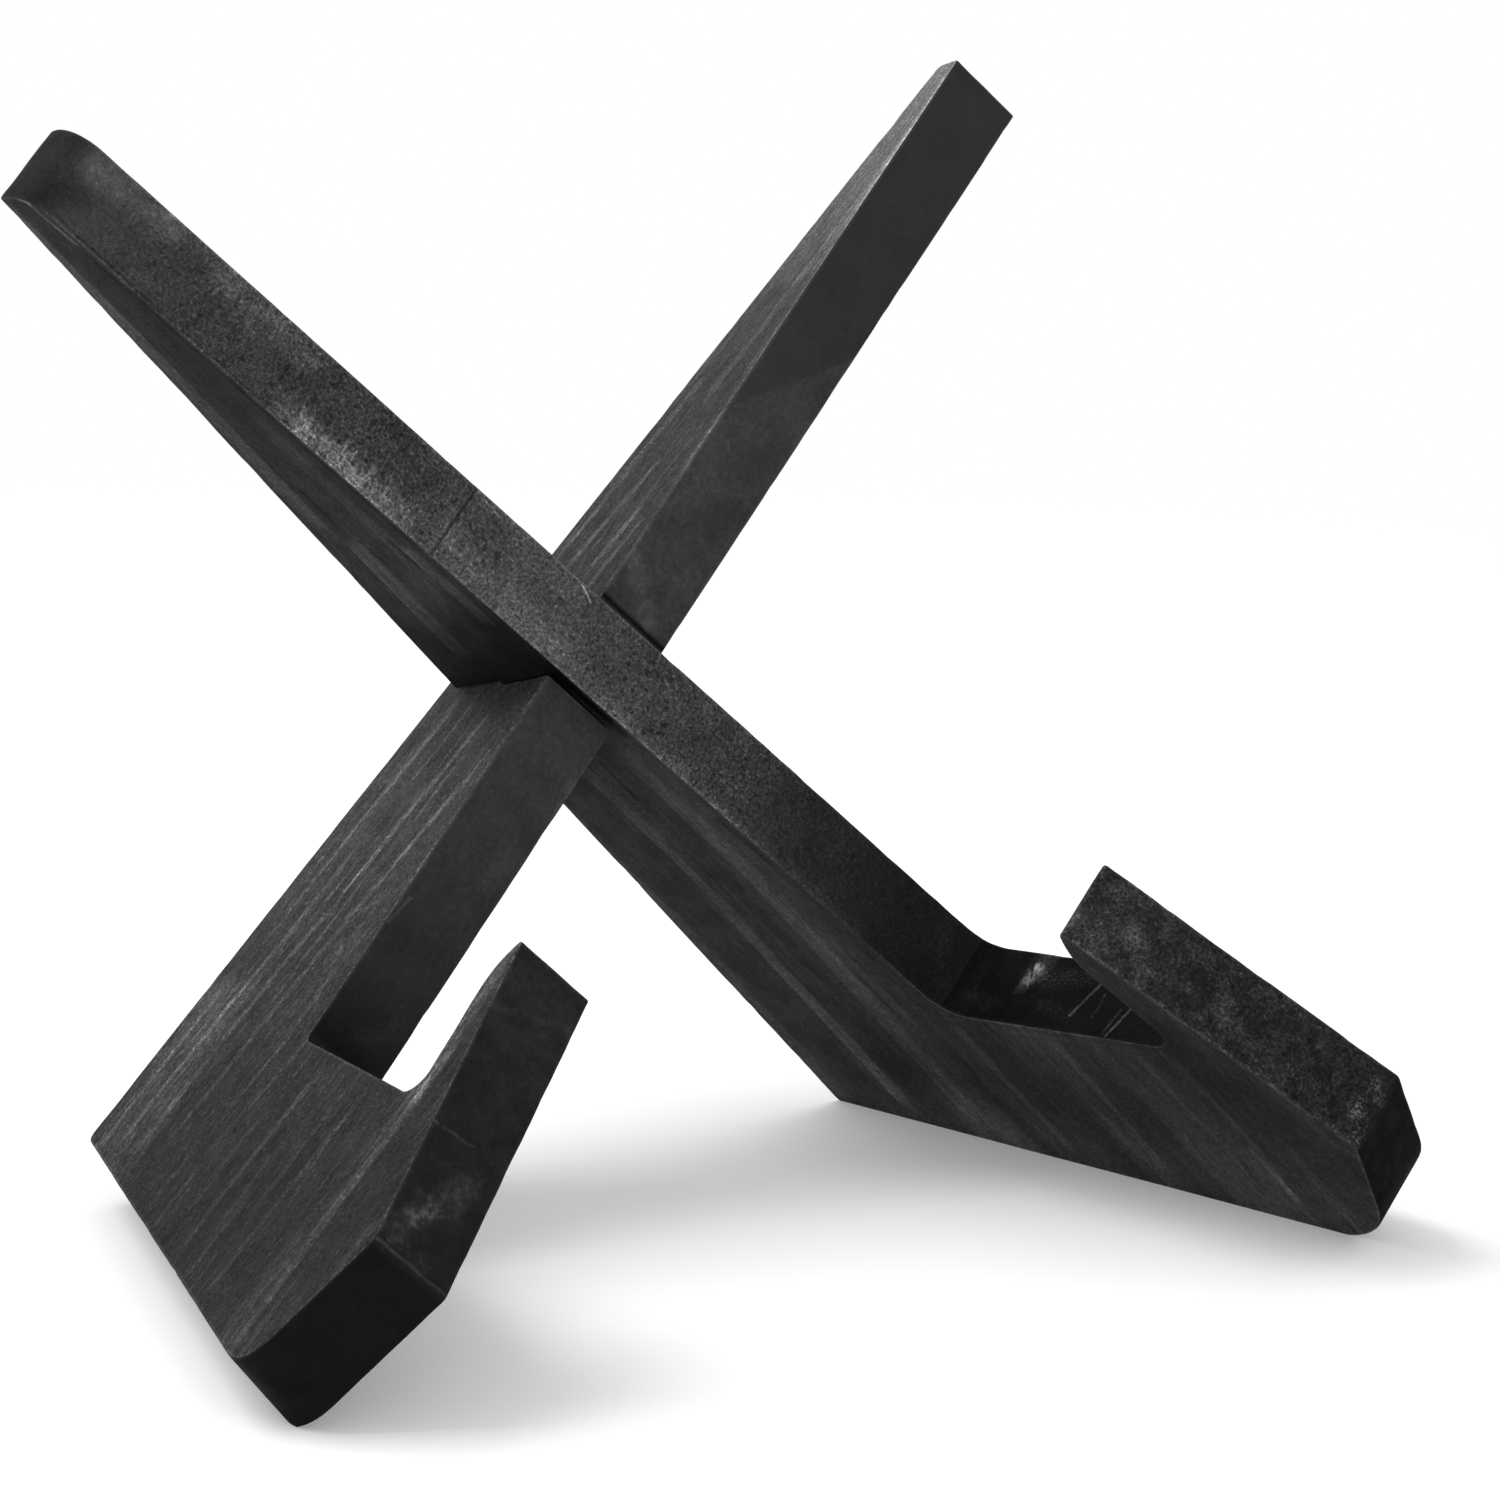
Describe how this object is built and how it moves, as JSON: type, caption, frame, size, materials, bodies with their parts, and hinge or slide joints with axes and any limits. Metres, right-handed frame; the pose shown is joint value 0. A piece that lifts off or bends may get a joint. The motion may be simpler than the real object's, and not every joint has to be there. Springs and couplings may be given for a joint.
{
  "type": "cookbook stand",
  "caption": "Small stained-wood book stand of crossed boards in a half lap, with hooked feet whose notches carry the lower edge of an open book.",
  "frame": {"origin": "on the floor, below the middle of the stand's bounding box", "axes": "-Y is the front, where the book and its reader are; +X is to the reader's right; the arms lean back toward +Y"},
  "size_m": [0.2196, 0.1374, 0.1861],
  "materials": {
    "over_board_stain": "black stain, lightly worn, satin to dull",
    "under_board_stain": "black stain, lightly worn, satin to dull"
  },
  "bodies": {
    "under_board": {"under_board": "under_board_stain"},
    "over_board": {"over_board": "over_board_stain"}
  },
  "joints": [
    {"name": "lap_slide", "type": "slide", "parent": "under_board", "child": "over_board", "axis": [0, -0.9593, 0.2823], "range_m": [0, 0.04]}
  ]
}
